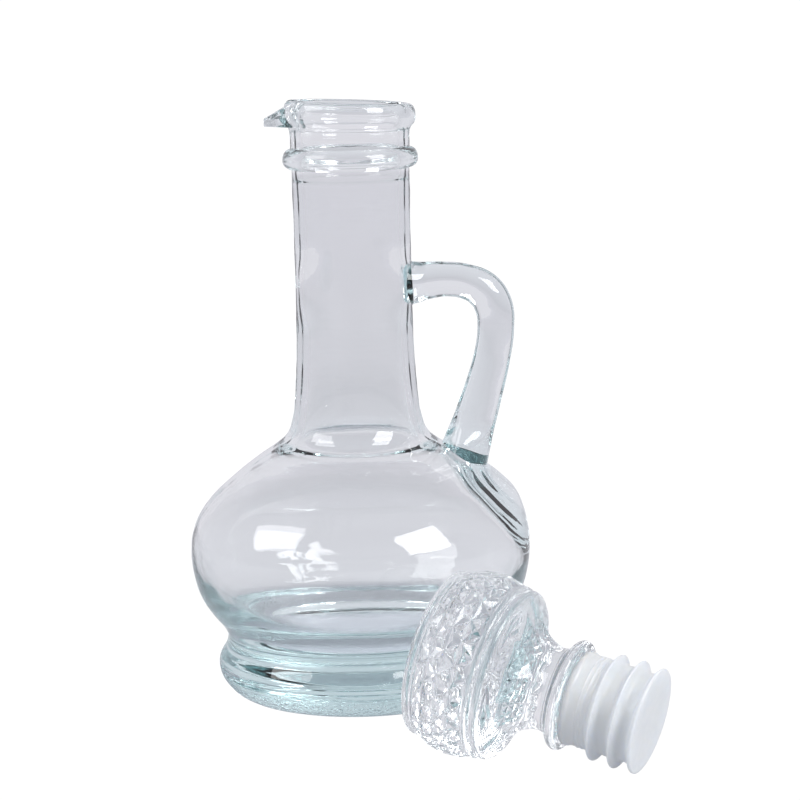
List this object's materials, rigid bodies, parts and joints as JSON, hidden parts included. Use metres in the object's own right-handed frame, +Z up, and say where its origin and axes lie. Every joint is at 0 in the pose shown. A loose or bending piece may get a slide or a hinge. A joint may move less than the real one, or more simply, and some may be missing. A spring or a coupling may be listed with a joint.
{
  "type": "glass oil cruet",
  "caption": "Clear glass oil cruet with a squat round bulb, tall neck, pouring lip and loop handle, and a star-cut glass stopper with a ribbed plastic sleeve lying beside it.",
  "frame": {"origin": "centre of the flat ring that the bottle stands on, in the plane of the table", "axes": "+Z up along the bottle's axis, +X towards the handle, -X towards the pouring spout; the loose stopper lies on the table on the -Y side, towards +X"},
  "size_m": [0.126, 0.1545, 0.1671],
  "materials": {
    "bottle_glass": "clear soda-lime glass with a faint blue-green tint, fire-polished",
    "stopper_glass": "clear pressed glass with cut facets",
    "sleeve_plastic": "milky translucent soft polyethylene"
  },
  "bodies": {
    "bottle": {"bottle_body": "bottle_glass", "handle": "bottle_glass"},
    "stopper": {"stopper_knob": "stopper_glass"},
    "sleeve": {"stopper_sleeve": "sleeve_plastic"}
  },
  "joints": [
    {"name": "stopper_lift", "type": "slide", "parent": "bottle", "child": "stopper", "axis": [0, 0, 1], "range_m": [0, 0.2]},
    {"name": "sleeve_pull", "type": "slide", "parent": "stopper", "child": "sleeve", "axis": [0.8776, -0.4242, -0.2233], "range_m": [0, 0.02]}
  ]
}
